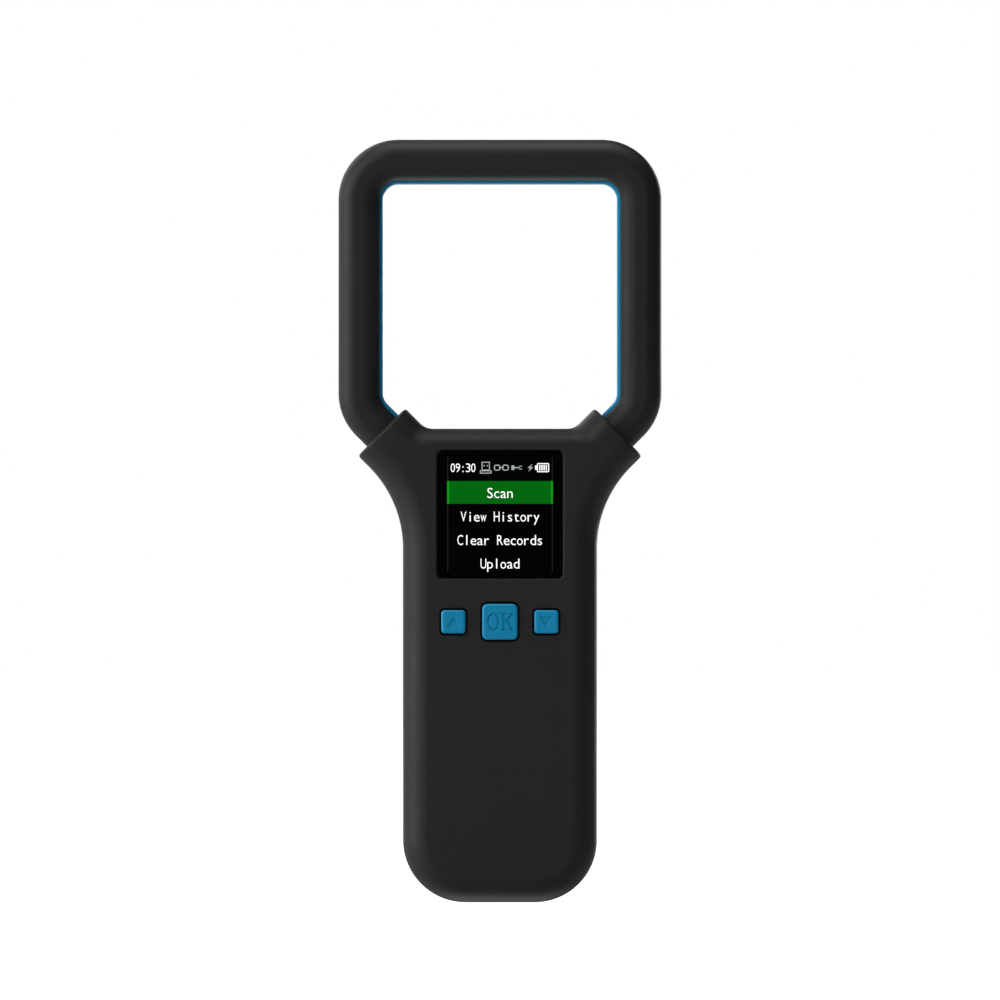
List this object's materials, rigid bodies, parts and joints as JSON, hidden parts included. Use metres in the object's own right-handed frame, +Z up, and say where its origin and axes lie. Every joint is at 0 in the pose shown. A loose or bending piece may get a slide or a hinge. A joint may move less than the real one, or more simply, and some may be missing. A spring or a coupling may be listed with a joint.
{
  "type": "microchip scanner",
  "caption": "Hand-held reader for implanted animal microchips: a rounded handle with a small screen and pressing keys, and a square loop antenna on two slanted arms.",
  "frame": {"origin": "middle of the flat bottom end of the handle, on the plane where the two halves meet", "axes": "+Z up the handle to the loop, -Y out of the face with the screen and keys, +X to the right as seen from the front"},
  "size_m": [0.0772, 0.0208, 0.182],
  "materials": {
    "black_plastic": "matte",
    "blue_plastic": "satin",
    "black_glass": "gloss",
    "screen_glass": "gloss",
    "white_plastic": "satin",
    "circuit_board": "satin",
    "component_black": "satin",
    "plated_steel": "satin",
    "enamelled_copper": "satin",
    "black_foam": "matte",
    "amber_film": "satin",
    "cell_foil": "satin",
    "red_lead": "satin",
    "black_lead": "satin"
  },
  "bodies": {
    "reader": {"antenna_coil": "enamelled_copper", "backlight": "white_plastic", "battery_cell": "cell_foil", "battery_foam": "black_foam", "battery_lead_black": "black_lead", "battery_lead_red": "red_lead", "battery_plug": "white_plastic", "battery_socket": "white_plastic", "boost_inductor": "component_black", "buzzer": "component_black", "coil_connector": "white_plastic", "coil_former": "white_plastic", "coil_lead_end": "enamelled_copper", "coil_lead_start": "enamelled_copper", "controller_chip": "component_black", "crystal": "plated_steel", "display_cell": "screen_glass", "display_flex": "amber_film", "display_foam": "black_foam", "down_switch_body": "component_black", "handle_front_shell": "black_plastic", "handle_rear_shell": "black_plastic", "loop_front_shell": "black_plastic", "loop_rear_shell": "black_plastic", "loop_trim": "blue_plastic", "lower_left_board_screw": "plated_steel", "lower_left_shell_screw": "plated_steel", "lower_right_board_screw": "plated_steel", "lower_right_shell_screw": "plated_steel", "main_board": "circuit_board", "ok_switch_body": "component_black", "radio_module": "plated_steel", "reader_chip": "component_black", "up_switch_body": "component_black", "upper_left_board_screw": "plated_steel", "upper_left_shell_screw": "plated_steel", "upper_right_board_screw": "plated_steel", "upper_right_shell_screw": "plated_steel", "usb_socket": "plated_steel", "window": "black_glass", "window_adhesive": "black_foam"},
    "up_button": {"up_key": "blue_plastic", "up_plunger": "white_plastic"},
    "ok_button": {"ok_key": "blue_plastic", "ok_plunger": "white_plastic"},
    "down_button": {"down_key": "blue_plastic", "down_plunger": "white_plastic"}
  },
  "joints": [
    {"name": "up_press", "type": "slide", "parent": "reader", "child": "up_button", "axis": [0, 1, 0], "range_m": [0, 0.0003], "stiffness_N_per_m": 5000},
    {"name": "ok_press", "type": "slide", "parent": "reader", "child": "ok_button", "axis": [0, 1, 0], "range_m": [0, 0.0003], "stiffness_N_per_m": 5000},
    {"name": "down_press", "type": "slide", "parent": "reader", "child": "down_button", "axis": [0, 1, 0], "range_m": [0, 0.0003], "stiffness_N_per_m": 5000}
  ]
}
